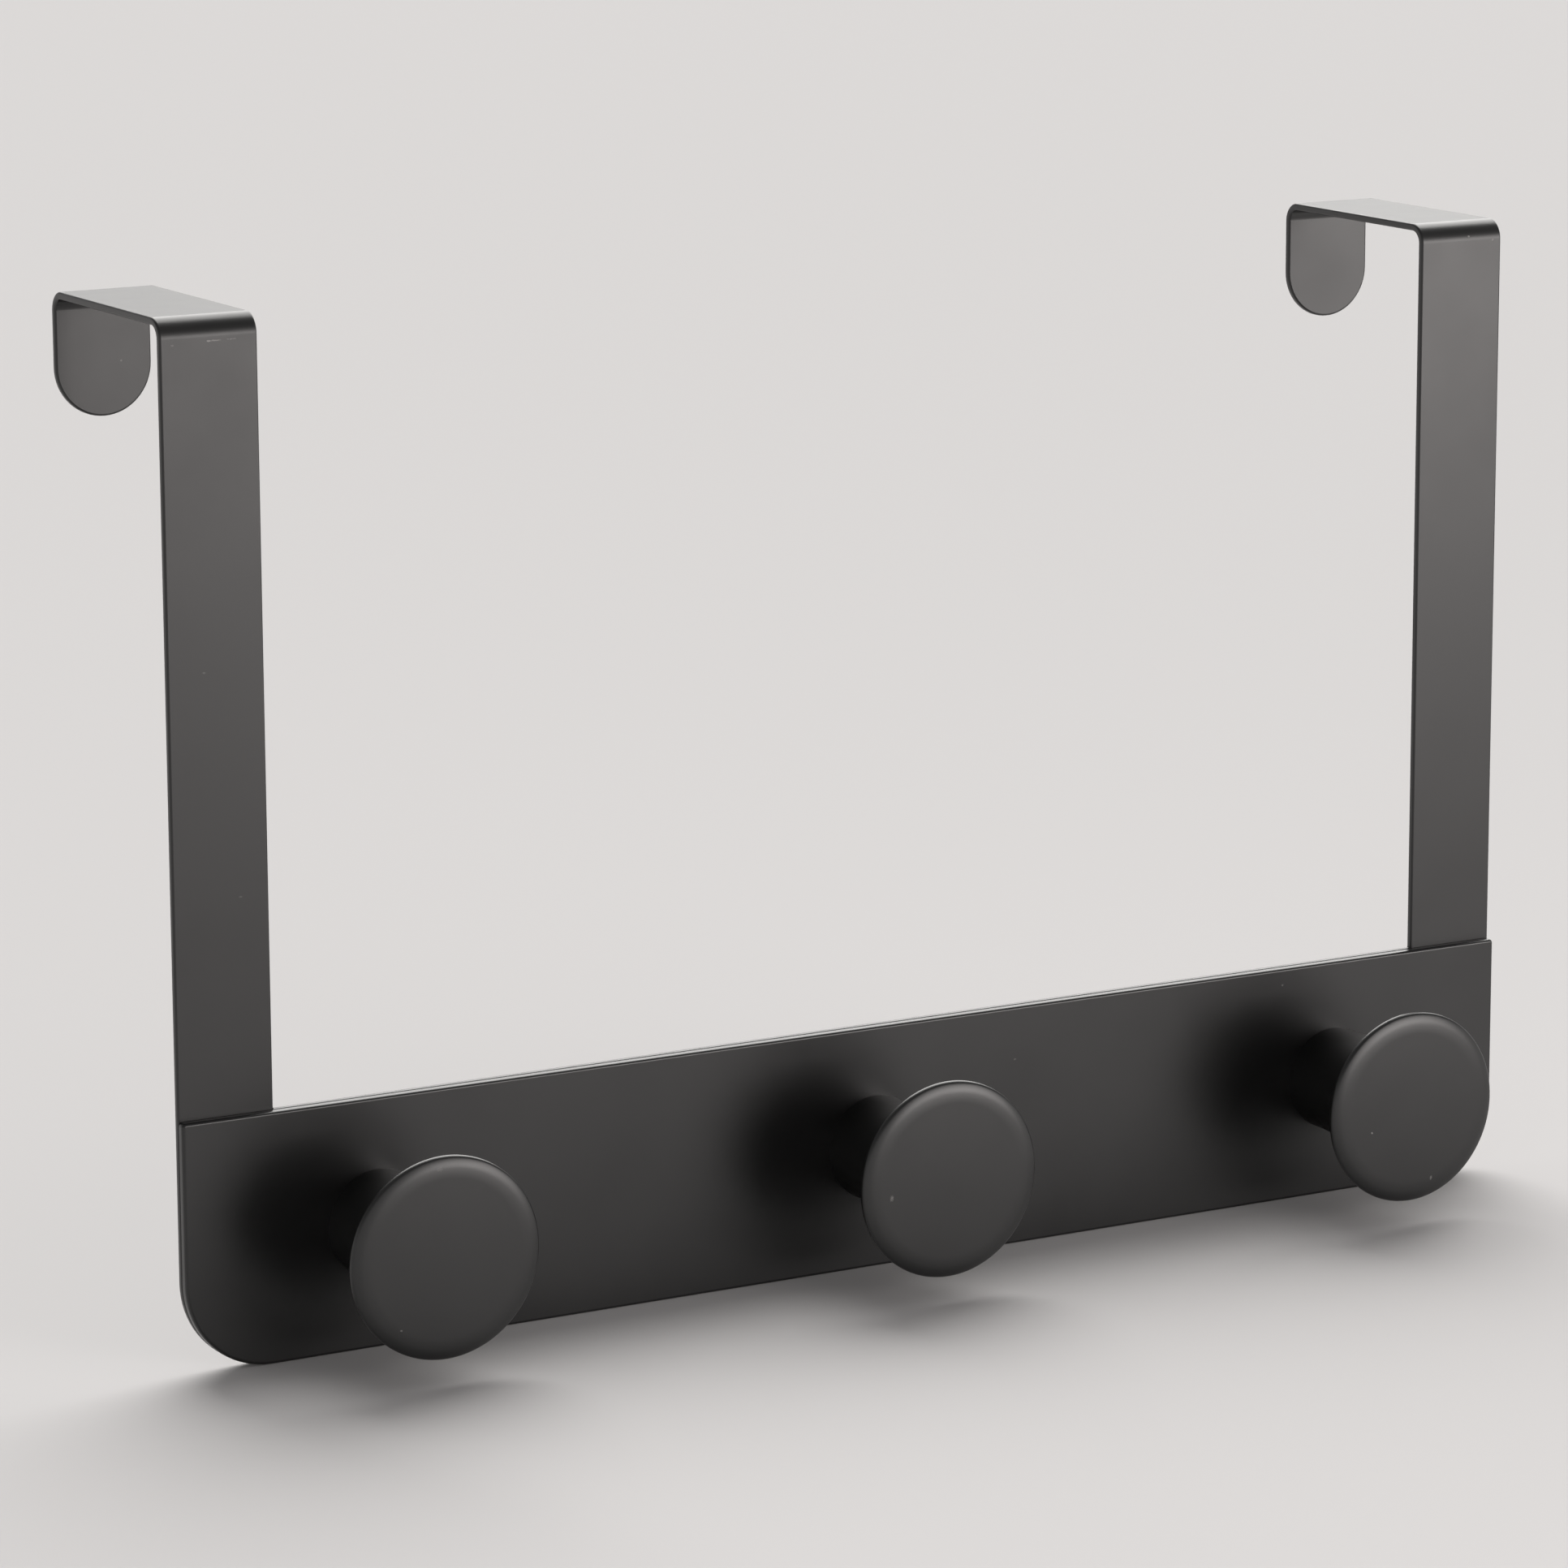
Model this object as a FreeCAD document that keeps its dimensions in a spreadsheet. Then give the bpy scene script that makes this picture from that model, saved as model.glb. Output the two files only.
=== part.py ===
import FreeCAD, Part
import math
import os
import Sketcher

# Over door hook: a folded sheet steel frame that hangs over a door's top edge, a flat front plate
# laid on its band, and three turned knobs, each held by a countersunk screw from behind.
# The frame's origin is where the door's top edge meets its front face, midway between the straps.
# X runs along the width, Y goes into the door and Z is up. All lengths are in millimetres.

# Driving dimensions
DIMENSIONS = [
    ("plate_width", 305.0, "width of the front plate and of the frame behind it"),
    ("plate_height", 50.0, "height of the front plate and of the frame's band"),
    ("plate_thickness", 2.0, "sheet of the front plate"),
    ("plate_corner_radius", 18.0, "bottom corners of plate and frame"),
    ("plate_top_radius", 0.8, "top corners of the plate"),
    ("plate_edge_radius", 0.6, "softened front edge of the plate"),
    ("sheet_thickness", 1.5, "sheet of the folded frame"),
    ("strap_width", 20.0, "width of each strap"),
    ("plate_drop", 152.0, "from the door's top edge down to the plate's top edge"),
    ("door_gap", 47.5, "clear depth between leg and flap, for the door"),
    ("bend_radius", 2.5, "inner radius of every bend"),
    ("flap_straight", 11.0, "flap below its bend, above its round end"),
    ("frame_edge_radius", 0.45, "softened edges of the frame"),
    ("knob_inset", 41.0, "from each end of the plate to the axis of its outer knob"),
    ("head_diameter", 40.0, "knob head"),
    ("head_back_radius", 0.3, "small round at the back edge of the head"),
    ("head_side", 0.35, "straight rim of the knob head"),
    ("head_edge_radius", 0.8, "tight round at the front of the rim"),
    ("head_edge_width", 0.5, "how far in from the rim the tight round reaches"),
    ("head_shoulder_radius", 7.0, "round that goes on from the tight one"),
    ("head_shoulder_width", 1.8, "how far in from there that round reaches"),
    ("head_fall_radius", 22.0, "soft fall from the flat face to that round"),
    ("head_standoff", 28.0, "from the plate to the back of the head"),
    ("head_lip", 4.0, "flat ring behind the head, outside the flare"),
    ("neck_diameter", 21.5, "foot of the knob's neck"),
    ("neck_straight", 2.0, "straight foot, before the neck flares"),
    ("screw_diameter", 4.0, "shank of the screw"),
    ("screw_length", 12.0, "whole length of the countersunk screw"),
    ("screw_head_diameter", 8.0, "countersunk head, 90 degrees"),
    ("screw_sink", 0.1, "head below the frame's back face"),
    ("screw_tip_chamfer", 0.5, "chamfer at the screw's tip"),
    ("hole_clearance", 0.2, "around the shank in frame and plate"),
    ("thread_clearance", 0.05, "around the shank in the knob"),
    ("bore_reserve", 1.5, "bore left below the screw's tip"),
    ("drill_point", 1.2, "cone at the end of the knob's bore"),
    ("recess_width", 0.9, "slot of the cross recess"),
    ("recess_span", 4.4, "length of each slot of the cross recess"),
    ("recess_depth", 1.4, "depth of the cross recess"),
]
# Draft of the cross recess in degrees, and the length below which two places count as one
RECESS_TAPER = -8.0
SAME_PLACE = 1e-3

document = FreeCAD.newDocument("over_door_hook")
sheet = document.addObject("Spreadsheet::Sheet", "Dimensions")
size = {}
for row, (alias, value, meaning) in enumerate(DIMENSIONS, start=1):
    sheet.set(f"A{row}", alias)
    sheet.set(f"B{row}", str(value))
    sheet.set(f"C{row}", meaning)
    sheet.setAlias(f"B{row}", alias)
    size[alias] = value
document.recompute()


def cell(expression):
    # Puts the sheet's name before each alias in an expression.
    words = expression.split(" ")
    return " ".join(f"Dimensions.{word}" if word in size else word for word in words)


def origin_plane(body, role):
    return next(item for item in body.Origin.OriginFeatures if item.Role == role)


def new_sketch(body, name, role, offset=None):
    # Attaches a sketch to one of the body's own origin planes, moved by bound offsets.
    sketch = body.newObject("Sketcher::SketchObject", name)
    sketch.AttachmentSupport = (origin_plane(body, role), [""])
    sketch.MapMode = "FlatFace"
    for axis, expression in (offset or {}).items():
        sketch.setExpression(f"AttachmentOffset.Base.{axis}", cell(expression))
    return sketch


def line(start, end):
    return ("line", start, end)


def arc(centre, radius, start_angle, end_angle):
    return ("arc", centre, radius, start_angle, end_angle)


def trace(sketch, edges, smooth=()):
    # Draws a closed outline and joins each edge to the next, tangent where both are in smooth.
    for kind, *values in edges:
        if kind == "line":
            start, end = values
            sketch.addGeometry(Part.LineSegment(FreeCAD.Vector(*start, 0), FreeCAD.Vector(*end, 0)))
            level = abs(start[1] - end[1]) < SAME_PLACE
            upright = abs(start[0] - end[0]) < SAME_PLACE
            index = sketch.GeometryCount - 1
            if level:
                sketch.addConstraint(Sketcher.Constraint("Horizontal", index))
            if upright:
                sketch.addConstraint(Sketcher.Constraint("Vertical", index))
        else:
            centre, radius, start_angle, end_angle = values
            low, high = sorted((start_angle, end_angle))
            circle = Part.Circle(FreeCAD.Vector(*centre, 0), FreeCAD.Vector(0, 0, 1), radius)
            sketch.addGeometry(Part.ArcOfCircle(circle, math.radians(low), math.radians(high)))
    for index, edge in enumerate(edges):
        following = (index + 1) % len(edges)
        backward = edge[0] == "arc" and edge[3] > edge[4]
        next_backward = edges[following][0] == "arc" and edges[following][3] > edges[following][4]
        end_point = 1 if backward else 2
        start_point = 2 if next_backward else 1
        kind = "Tangent" if (index, following) in smooth else "Coincident"
        sketch.addConstraint(Sketcher.Constraint(kind, index, end_point, following, start_point))


def dimension(sketch, name, kind, geometry, expression):
    # Adds one bound dimension between the given points or edges.
    start_value = max(abs(evaluate(expression)), SAME_PLACE)
    index = sketch.addConstraint(Sketcher.Constraint(kind, *geometry, start_value))
    sketch.renameConstraint(index, name)
    sketch.setExpression(f"Constraints.{name}", cell(expression))


def evaluate(expression):
    # The value of an expression of plain sums and products of the dimensions.
    result = sheet.evalExpression(cell(expression))
    return float(getattr(result, "Value", result))


def sharp_edges(shape, wanted):
    # Names the edges where two faces meet at a corner, among those that wanted accepts.
    names = []
    for number, edge in enumerate(shape.Edges, start=1):
        faces = shape.ancestorsOfType(edge, Part.Face)
        if len(faces) != 2 or not wanted(edge):
            continue
        middle = edge.valueAt((edge.FirstParameter + edge.LastParameter) / 2)
        normals = [face.normalAt(*face.Surface.parameter(middle)) for face in faces]
        if normals[0].getAngle(normals[1]) > math.radians(45):
            names.append(f"Edge{number}")
    return names


def soften(body, base, name, wanted, expression):
    # Rounds the sharp edges that wanted accepts.
    document.recompute()
    fillet = body.newObject("PartDesign::Fillet", name)
    fillet.Base = (base, sharp_edges(base.Shape, wanted))
    fillet.setExpression("Radius", cell(expression))
    return fillet


def is_hole_rim(edge):
    # Only a hole has a full circle for an edge; the rounded corners are arcs between two corners.
    return isinstance(edge.Curve, Part.Circle) and len(edge.Vertexes) == 1


def lies_at_depth(edge, depth):
    # Whether a whole edge lies in the upright plane at this depth.
    return edge.BoundBox.YLength < SAME_PLACE and abs(edge.BoundBox.YMin - depth) < SAME_PLACE


def screw_path(body, name):
    # Cuts the three countersunk screw holes; each screw's cone seats on the same cone.
    first_hole = {"x": "knob_inset - plate_width / 2", "z": "- plate_drop - plate_height / 2"}
    groove_sketch = new_sketch(body, f"{name}_section", "XY_Plane", first_hole)
    mouth = evaluate("screw_head_diameter / 2 + screw_sink")
    bore = evaluate("screw_diameter / 2 + hole_clearance")
    depth = size["screw_length"]
    trace(groove_sketch, [
        line((0, 0), (mouth, 0)),
        line((mouth, 0), (bore, bore - mouth)),
        line((bore, bore - mouth), (bore, -depth)),
        line((bore, -depth), (0, -depth)),
        line((0, -depth), (0, 0)),
    ])
    groove_sketch.addConstraint(Sketcher.Constraint("Coincident", 0, 1, -1, 1))
    dimension(groove_sketch, "mouth", "DistanceX", (0, 1, 0, 2), "screw_head_diameter / 2 + screw_sink")
    dimension(groove_sketch, "bore", "DistanceX", (3, 2, 3, 1), "screw_diameter / 2 + hole_clearance")
    dimension(
        groove_sketch, "cone", "DistanceY", (1, 2, 1, 1),
        "screw_head_diameter / 2 + screw_sink - screw_diameter / 2 - hole_clearance",
    )
    dimension(groove_sketch, "depth", "DistanceY", (4, 1, 4, 2), "screw_length")
    groove = body.newObject("PartDesign::Groove", name)
    groove.Profile = groove_sketch
    groove.ReferenceAxis = (groove_sketch, ["V_Axis"])
    groove.Angle = 360
    row_of_holes = body.newObject("PartDesign::LinearPattern", f"{name}_row")
    row_of_holes.Originals = [groove]
    row_of_holes.Direction = (origin_plane(body, "X_Axis"), [""])
    row_of_holes.setExpression("Length", cell("plate_width - knob_inset * 2"))
    row_of_holes.Occurrences = 3
    body.Tip = row_of_holes
    return row_of_holes


def make_hanger_frame():
    # One blank of sheet steel: a band behind the plate, and two straps folded over the door.
    body = document.addObject("PartDesign::Body", "hanger_frame")
    half = size["plate_width"] / 2
    strap = size["strap_width"]
    corner = size["plate_corner_radius"]
    top = -size["plate_drop"]
    bottom = top - size["plate_height"]
    bend = size["bend_radius"]

    outline = new_sketch(body, "frame_outline", "XZ_Plane")
    trace(outline, [
        line((-half, -bend), (-half, bottom + corner)),
        arc((-half + corner, bottom + corner), corner, 180, 270),
        line((-half + corner, bottom), (half - corner, bottom)),
        arc((half - corner, bottom + corner), corner, 270, 360),
        line((half, bottom + corner), (half, -bend)),
        line((half, -bend), (half - strap, -bend)),
        line((half - strap, -bend), (half - strap, top)),
        line((half - strap, top), (strap - half, top)),
        line((strap - half, top), (strap - half, -bend)),
        line((strap - half, -bend), (-half, -bend)),
    ], smooth={(0, 1), (1, 2), (2, 3), (3, 4)})
    outline.addConstraint(Sketcher.Constraint("Symmetric", 0, 1, 4, 2, -2))
    outline.addConstraint(Sketcher.Constraint("Equal", 1, 3))
    outline.addConstraint(Sketcher.Constraint("Equal", 5, 9))
    dimension(outline, "width", "DistanceX", (0, 1, 4, 2), "plate_width")
    dimension(outline, "corner", "Radius", (1,), "plate_corner_radius")
    dimension(outline, "strap", "DistanceX", (9, 2, 9, 1), "strap_width")
    dimension(outline, "drop", "DistanceY", (7, 1, -1, 1), "plate_drop")
    dimension(outline, "band", "DistanceY", (2, 1, 7, 2), "plate_height")
    dimension(outline, "bend_start", "DistanceY", (0, 1, -1, 1), "bend_radius")
    flat_part = body.newObject("PartDesign::Pad", "flat_part")
    flat_part.Profile = outline
    flat_part.setExpression("Length", cell("sheet_thickness"))

    wall = size["sheet_thickness"]
    gap = size["door_gap"]
    flap_end_level = -bend - size["flap_straight"]
    fold = new_sketch(body, "strap_fold", "YZ_Plane", {"z": "- plate_width / 2"})
    trace(fold, [
        arc((bend, -bend), bend + wall, 180, 90),
        line((bend, wall), (gap - bend, wall)),
        arc((gap - bend, -bend), bend + wall, 90, 0),
        line((gap + wall, -bend), (gap + wall, flap_end_level)),
        line((gap + wall, flap_end_level), (gap, flap_end_level)),
        line((gap, flap_end_level), (gap, -bend)),
        arc((gap - bend, -bend), bend, 0, 90),
        line((gap - bend, 0), (bend, 0)),
        arc((bend, -bend), bend, 90, 180),
        line((0, -bend), (-wall, -bend)),
    ], smooth={(0, 1), (1, 2), (2, 3), (5, 6), (6, 7), (7, 8)})
    fold.addConstraint(Sketcher.Constraint("Coincident", 0, 3, 8, 3))
    fold.addConstraint(Sketcher.Constraint("Coincident", 2, 3, 6, 3))
    fold.addConstraint(Sketcher.Constraint("Horizontal", 8, 3, 8, 2))
    fold.addConstraint(Sketcher.Constraint("PointOnObject", 8, 2, -2))
    fold.addConstraint(Sketcher.Constraint("PointOnObject", 7, 2, -1))
    dimension(fold, "bend", "Radius", (8,), "bend_radius")
    dimension(fold, "second_bend", "Radius", (6,), "bend_radius")
    dimension(fold, "wall", "DistanceX", (9, 2, 9, 1), "sheet_thickness")
    dimension(fold, "gap", "DistanceX", (8, 2, 5, 2), "door_gap")
    dimension(fold, "flap", "DistanceY", (5, 1, 5, 2), "flap_straight")
    folded_strap = body.newObject("PartDesign::Pad", "folded_strap")
    folded_strap.Profile = fold
    folded_strap.setExpression("Length", cell("strap_width"))

    round_end = new_sketch(body, "flap_round", "XZ_Plane", {"z": "- door_gap - sheet_thickness"})
    centre = strap / 2 - half
    trace(round_end, [
        arc((centre, flap_end_level), strap / 2, 180, 360),
        line((centre + strap / 2, flap_end_level), (centre - strap / 2, flap_end_level)),
    ])
    round_end.addConstraint(Sketcher.Constraint("PointOnObject", 0, 3, 1))
    dimension(round_end, "radius", "Radius", (0,), "strap_width / 2")
    dimension(round_end, "side", "DistanceX", (0, 1, -1, 1), "plate_width / 2")
    dimension(round_end, "level", "DistanceY", (0, 1, -1, 1), "bend_radius + flap_straight")
    flap_end = body.newObject("PartDesign::Pad", "flap_end")
    flap_end.Profile = round_end
    flap_end.setExpression("Length", cell("sheet_thickness"))

    both_sides = body.newObject("PartDesign::Mirrored", "both_straps")
    both_sides.Originals = [folded_strap, flap_end]
    both_sides.MirrorPlane = (origin_plane(body, "YZ_Plane"), [""])
    body.Tip = both_sides
    drilled = screw_path(body, "screw_holes")

    def on_sheet_outline(edge):
        # The corners where a strap leaves the band stay sharp, as they are cut.
        through_sheet = abs(edge.BoundBox.YLength - size["sheet_thickness"]) < SAME_PLACE
        straight_in = edge.BoundBox.XLength < SAME_PLACE and edge.BoundBox.ZLength < SAME_PLACE
        return not is_hole_rim(edge) and not (through_sheet and straight_in)

    soften(body, drilled, "soft_edges", on_sheet_outline, "frame_edge_radius")
    body.Label = "hanger_frame"
    return body


def make_front_plate():
    # Flat sheet with the same outline as the frame's band, soft at its front edge.
    body = document.addObject("PartDesign::Body", "front_plate")
    half = size["plate_width"] / 2
    corner = size["plate_corner_radius"]
    small = size["plate_top_radius"]
    top = -size["plate_drop"]
    bottom = top - size["plate_height"]

    outline = new_sketch(body, "plate_outline", "XZ_Plane", {"z": "sheet_thickness"})
    trace(outline, [
        line((-half, top - small), (-half, bottom + corner)),
        arc((-half + corner, bottom + corner), corner, 180, 270),
        line((-half + corner, bottom), (half - corner, bottom)),
        arc((half - corner, bottom + corner), corner, 270, 360),
        line((half, bottom + corner), (half, top - small)),
        arc((half - small, top - small), small, 0, 90),
        line((half - small, top), (small - half, top)),
        arc((small - half, top - small), small, 90, 180),
    ], smooth={(index, (index + 1) % 8) for index in range(8)})
    outline.addConstraint(Sketcher.Constraint("Symmetric", 1, 3, 3, 3, -2))
    outline.addConstraint(Sketcher.Constraint("Equal", 5, 7))
    dimension(outline, "width", "DistanceX", (0, 1, 4, 2), "plate_width")
    dimension(outline, "corner", "Radius", (1,), "plate_corner_radius")
    dimension(outline, "top_corner", "Radius", (5,), "plate_top_radius")
    dimension(outline, "height", "DistanceY", (2, 1, 6, 2), "plate_height")
    dimension(outline, "drop", "DistanceY", (6, 2, -1, 1), "plate_drop")
    slab = body.newObject("PartDesign::Pad", "slab")
    slab.Profile = outline
    slab.setExpression("Length", cell("plate_thickness"))
    drilled = screw_path(body, "screw_holes_in_plate")

    back = -size["sheet_thickness"]
    front = back - size["plate_thickness"]

    def on_front(edge):
        return lies_at_depth(edge, front) and not is_hole_rim(edge)

    def on_back(edge):
        return lies_at_depth(edge, back) and not is_hole_rim(edge)

    soft_front = soften(body, drilled, "soft_front_edge", on_front, "plate_edge_radius")
    soften(body, soft_front, "soft_back_edge", on_back, "frame_edge_radius")
    body.Label = "front_plate"
    return body


def next_centre(centre, radius, next_radius, slope):
    # Centre of the round that goes on tangent where this one has fallen to a slope.
    step = radius - next_radius
    return centre[0] + step * math.sin(slope), centre[1] - step * math.cos(slope)


def make_knob(label, steps_from_centre):
    # Turned knob: straight foot, neck that flares to the head, tapped bore, and a flat face that
    # falls away to the rim on three rounds, each tighter than the one before.
    body = document.addObject("PartDesign::Body", label)
    neck = size["neck_diameter"] / 2
    straight = size["neck_straight"]
    standoff = size["head_standoff"]
    head = size["head_diameter"] / 2
    flare_end = head - size["head_lip"]
    back_round = size["head_back_radius"]
    side_start = standoff + back_round
    side_end = side_start + size["head_side"]
    edge = size["head_edge_radius"]
    shoulder = size["head_shoulder_radius"]
    fall = size["head_fall_radius"]
    edge_slope = math.asin(1 - size["head_edge_width"] / edge)
    shoulder_slope = math.asin(math.sin(edge_slope) - size["head_shoulder_width"] / shoulder)
    edge_centre = (head - edge, -side_end)
    shoulder_centre = next_centre(edge_centre, edge, shoulder, edge_slope)
    fall_centre = next_centre(shoulder_centre, shoulder, fall, shoulder_slope)
    edge_turn = 270 + math.degrees(edge_slope)
    shoulder_turn = 270 + math.degrees(shoulder_slope)
    flat_face, face = fall_centre[0], fall - fall_centre[1]
    bore = evaluate("screw_diameter / 2 + thread_clearance")
    bore_depth_text = "screw_length + screw_sink - sheet_thickness - plate_thickness + bore_reserve"
    bore_depth = evaluate(bore_depth_text)
    drill_point = size["drill_point"]
    rise = standoff - straight
    spread = flare_end - neck
    flare = (rise ** 2 + spread ** 2) / (2 * spread)
    sweep = math.degrees(math.asin(rise / flare))

    section = new_sketch(body, f"{label}_section", "XY_Plane")
    trace(section, [
        line((0, -bore_depth - drill_point), (bore, -bore_depth)),
        line((bore, -bore_depth), (bore, 0)),
        line((bore, 0), (neck, 0)),
        line((neck, 0), (neck, -straight)),
        arc((neck + flare, -straight), flare, 180, 180 + sweep),
        line((flare_end, -standoff), (head - back_round, -standoff)),
        arc((head - back_round, -side_start), back_round, 90, 0),
        line((head, -side_start), (head, -side_end)),
        arc(edge_centre, edge, 360, edge_turn),
        arc(shoulder_centre, shoulder, edge_turn, shoulder_turn),
        arc(fall_centre, fall, shoulder_turn, 270),
        line((flat_face, -face), (0, -face)),
        line((0, -face), (0, -bore_depth - drill_point)),
    ], smooth={(3, 4), (5, 6), (6, 7), (7, 8), (8, 9), (9, 10), (10, 11)})
    section.addConstraint(Sketcher.Constraint("PointOnObject", 2, 1, -1))
    section.addConstraint(Sketcher.Constraint("PointOnObject", 12, 1, -2))
    dimension(section, "bore", "DistanceX", (-1, 1, 2, 1), "screw_diameter / 2 + thread_clearance")
    dimension(section, "bore_depth", "DistanceY", (1, 1, 1, 2), bore_depth_text)
    dimension(section, "drill_point", "DistanceY", (0, 1, 0, 2), "drill_point")
    dimension(section, "neck", "DistanceX", (-1, 1, 2, 2), "neck_diameter / 2")
    dimension(section, "foot", "DistanceY", (3, 2, 3, 1), "neck_straight")
    dimension(section, "standoff", "DistanceY", (5, 1, -1, 1), "head_standoff")
    dimension(section, "lip", "DistanceX", (5, 1, 7, 1), "head_lip")
    dimension(section, "head", "DistanceX", (-1, 1, 7, 1), "head_diameter / 2")
    dimension(section, "back_round", "Radius", (6,), "head_back_radius")
    dimension(section, "side", "DistanceY", (7, 2, 7, 1), "head_side")
    dimension(section, "edge", "Radius", (8,), "head_edge_radius")
    dimension(section, "edge_width", "DistanceX", (8, 1, 8, 2), "head_edge_width")
    dimension(section, "shoulder", "Radius", (9,), "head_shoulder_radius")
    dimension(section, "shoulder_width", "DistanceX", (9, 1, 9, 2), "head_shoulder_width")
    dimension(section, "fall", "Radius", (10,), "head_fall_radius")
    turned = body.newObject("PartDesign::Revolution", f"{label}_turned")
    turned.Profile = section
    turned.ReferenceAxis = (section, ["V_Axis"])
    turned.Angle = 360
    body.setExpression("Placement.Base.x", cell(f"( plate_width / 2 - knob_inset ) * {steps_from_centre}"))
    body.setExpression("Placement.Base.y", cell("- sheet_thickness - plate_thickness"))
    body.setExpression("Placement.Base.z", cell("- plate_drop - plate_height / 2"))
    body.Label = label
    return body


def make_screw(label, steps_from_centre):
    # Countersunk screw with a cross recess, flush in the frame's back face; its thread is left plain.
    body = document.addObject("PartDesign::Body", label)
    head = size["screw_head_diameter"] / 2
    shank = size["screw_diameter"] / 2
    length = size["screw_length"]
    chamfer = size["screw_tip_chamfer"]
    section = new_sketch(body, f"{label}_section", "XY_Plane")
    trace(section, [
        line((0, 0), (head, 0)),
        line((head, 0), (shank, shank - head)),
        line((shank, shank - head), (shank, chamfer - length)),
        line((shank, chamfer - length), (shank - chamfer, -length)),
        line((shank - chamfer, -length), (0, -length)),
        line((0, -length), (0, 0)),
    ])
    section.addConstraint(Sketcher.Constraint("Coincident", 0, 1, -1, 1))
    dimension(section, "head", "DistanceX", (0, 1, 0, 2), "screw_head_diameter / 2")
    dimension(section, "shank", "DistanceX", (-1, 1, 1, 2), "screw_diameter / 2")
    dimension(section, "cone", "DistanceY", (1, 2, 1, 1), "screw_head_diameter / 2 - screw_diameter / 2")
    dimension(section, "length", "DistanceY", (5, 1, 5, 2), "screw_length")
    dimension(section, "chamfer_depth", "DistanceY", (3, 2, 3, 1), "screw_tip_chamfer")
    dimension(section, "chamfer_width", "DistanceX", (3, 2, 3, 1), "screw_tip_chamfer")
    turned = body.newObject("PartDesign::Revolution", f"{label}_turned")
    turned.Profile = section
    turned.ReferenceAxis = (section, ["V_Axis"])
    turned.Angle = 360
    document.recompute()
    volume_before = turned.Shape.Volume

    # The cross recess is drawn once round: two slots at right angles.
    reach = size["recess_span"] / 2
    arm = size["recess_width"] / 2
    corners = [(arm, arm), (arm, reach), (-arm, reach), (-arm, arm), (-reach, arm), (-reach, -arm)]
    corners += [(-x, -z) for x, z in corners]
    cross = new_sketch(body, f"{label}_cross", "XZ_Plane")
    trace(cross, [line(corners[i], corners[(i + 1) % 12]) for i in range(12)])
    for index in (0, 2, 4):
        cross.addConstraint(Sketcher.Constraint("Symmetric", index, 2, index + 6, 2, -1, 1))
    dimension(cross, "slot_across", "DistanceX", (1, 2, 1, 1), "recess_width")
    dimension(cross, "slot_upright", "DistanceY", (4, 2, 4, 1), "recess_width")
    dimension(cross, "side_across", "DistanceX", (-1, 1, 1, 1), "recess_width / 2")
    dimension(cross, "side_upright", "DistanceY", (-1, 1, 3, 1), "recess_width / 2")
    dimension(cross, "reach_across", "DistanceX", (4, 1, -1, 1), "recess_span / 2")
    dimension(cross, "reach_upright", "DistanceY", (-1, 1, 1, 1), "recess_span / 2")
    recess = body.newObject("PartDesign::Pocket", f"{label}_recess")
    recess.Profile = cross
    recess.Reversed = True
    recess.TaperAngle = RECESS_TAPER
    recess.setExpression("Length", cell("recess_depth"))
    document.recompute()
    if recess.Shape.Volume >= volume_before:
        raise RuntimeError(f"{label}: the recess cut nothing")
    body.setExpression("Placement.Base.x", cell(f"( plate_width / 2 - knob_inset ) * {steps_from_centre}"))
    body.setExpression("Placement.Base.y", cell("- screw_sink"))
    body.setExpression("Placement.Base.z", cell("- plate_drop - plate_height / 2"))
    body.Label = label
    return body


sub_parts = [make_hanger_frame(), make_front_plate()]
for place, steps_from_centre in (("left", -1), ("centre", 0), ("right", 1)):
    sub_parts.append(make_knob(f"knob_{place}", steps_from_centre))
    sub_parts.append(make_screw(f"screw_{place}", steps_from_centre))
document.recompute()

# Every object has to be sound before anything is written.
for item in document.Objects:
    if "Invalid" in item.State or "Error" in item.State:
        raise RuntimeError(f"{item.Name} failed: {item.State}")
os.makedirs("parts", exist_ok=True)
for body in sub_parts:
    shape = body.Shape
    if shape.isNull() or not shape.isValid() or len(shape.Solids) != 1:
        raise RuntimeError(f"{body.Label} is not one valid solid")
    shape.exportStep(f"parts/{body.Label}.step")
    print(f"{body.Label}: {shape.Volume / 1000:.2f} cm3, {len(shape.Faces)} faces")
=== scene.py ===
import math

import bmesh
import bpy
from mathutils import Matrix, Vector


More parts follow.
